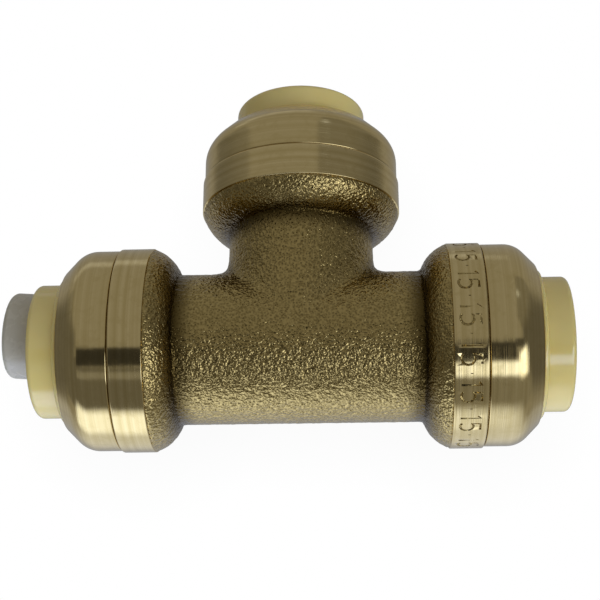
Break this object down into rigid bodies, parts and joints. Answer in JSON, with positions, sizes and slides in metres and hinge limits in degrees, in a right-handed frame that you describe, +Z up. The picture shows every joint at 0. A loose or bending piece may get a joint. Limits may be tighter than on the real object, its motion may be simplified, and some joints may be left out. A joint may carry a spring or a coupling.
{
  "type": "push to connect fitting",
  "caption": "Brass equal tee with push-to-connect sockets, each with a swaged end cap, a sliding release collar, a toothed grab ring, an O-ring and a loose pipe liner.",
  "frame": {"origin": "the point where the three port axes meet", "axes": "X along the run, +Y out of the branch, +Z up, square to both; the tee rests on its three machined bands"},
  "size_m": [0.0782, 0.051, 0.0285],
  "materials": {
    "forged_brass": "rough as-forged skin, satin on the machined bands",
    "turned_brass": "satin, fine turning lines",
    "cream_acetal": "moulded, soft sheen",
    "grey_polymer": "translucent moulded plastic",
    "stainless_spring": "stamped sheet",
    "black_rubber": "lubricated"
  },
  "bodies": {
    "tee": {"tee_body": "forged_brass", "left_end_cap": "turned_brass", "left_retainer_ring": "cream_acetal", "left_backing_washer": "stainless_spring", "left_o_ring_protector": "cream_acetal", "left_o_ring": "black_rubber", "right_end_cap": "turned_brass", "right_retainer_ring": "cream_acetal", "right_backing_washer": "stainless_spring", "right_o_ring_protector": "cream_acetal", "right_o_ring": "black_rubber", "branch_end_cap": "turned_brass", "branch_retainer_ring": "cream_acetal", "branch_backing_washer": "stainless_spring", "branch_o_ring_protector": "cream_acetal", "branch_o_ring": "black_rubber"},
    "left_grip": {"left_grab_ring": "stainless_spring"},
    "left_collar": {"left_release_collar": "cream_acetal"},
    "left_liner": {"left_pipe_liner": "grey_polymer"},
    "right_grip": {"right_grab_ring": "stainless_spring"},
    "right_collar": {"right_release_collar": "cream_acetal"},
    "right_liner": {"right_pipe_liner": "grey_polymer"},
    "branch_grip": {"branch_grab_ring": "stainless_spring"},
    "branch_collar": {"branch_release_collar": "cream_acetal"},
    "branch_liner": {"branch_pipe_liner": "grey_polymer"}
  },
  "joints": [
    {"name": "left_grip_spin", "type": "hinge", "parent": "tee", "child": "left_grip", "pos_m": [-0.0251, 0, 0], "axis": [-1, 0, 0], "continuous": true},
    {"name": "left_collar_push", "type": "slide", "parent": "left_grip", "child": "left_collar", "axis": [-1, 0, 0], "range_m": [-0.0018, 0], "stiffness_N_per_m": 3000, "deforming": ["left_grab_ring"]},
    {"name": "left_liner_slide", "type": "slide", "parent": "tee", "child": "left_liner", "axis": [-0.9976, 0.0698, 0], "range_m": [-0.004, 0.001]},
    {"name": "right_grip_spin", "type": "hinge", "parent": "tee", "child": "right_grip", "pos_m": [0.0251, 0, 0], "axis": [1, 0, 0], "continuous": true},
    {"name": "right_collar_push", "type": "slide", "parent": "right_grip", "child": "right_collar", "axis": [1, 0, 0], "range_m": [-0.0018, 0], "stiffness_N_per_m": 3000, "deforming": ["right_grab_ring"]},
    {"name": "right_liner_slide", "type": "slide", "parent": "tee", "child": "right_liner", "axis": [1, 0, 0], "range_m": [0, 0.0225]},
    {"name": "branch_grip_spin", "type": "hinge", "parent": "tee", "child": "branch_grip", "pos_m": [0, 0.0251, 0], "axis": [0, 1, 0], "continuous": true},
    {"name": "branch_collar_push", "type": "slide", "parent": "branch_grip", "child": "branch_collar", "axis": [0, 1, 0], "range_m": [-0.0018, 0], "stiffness_N_per_m": 3000, "deforming": ["branch_grab_ring"]},
    {"name": "branch_liner_slide", "type": "slide", "parent": "tee", "child": "branch_liner", "axis": [0, 1, 0], "range_m": [0, 0.0225]}
  ]
}
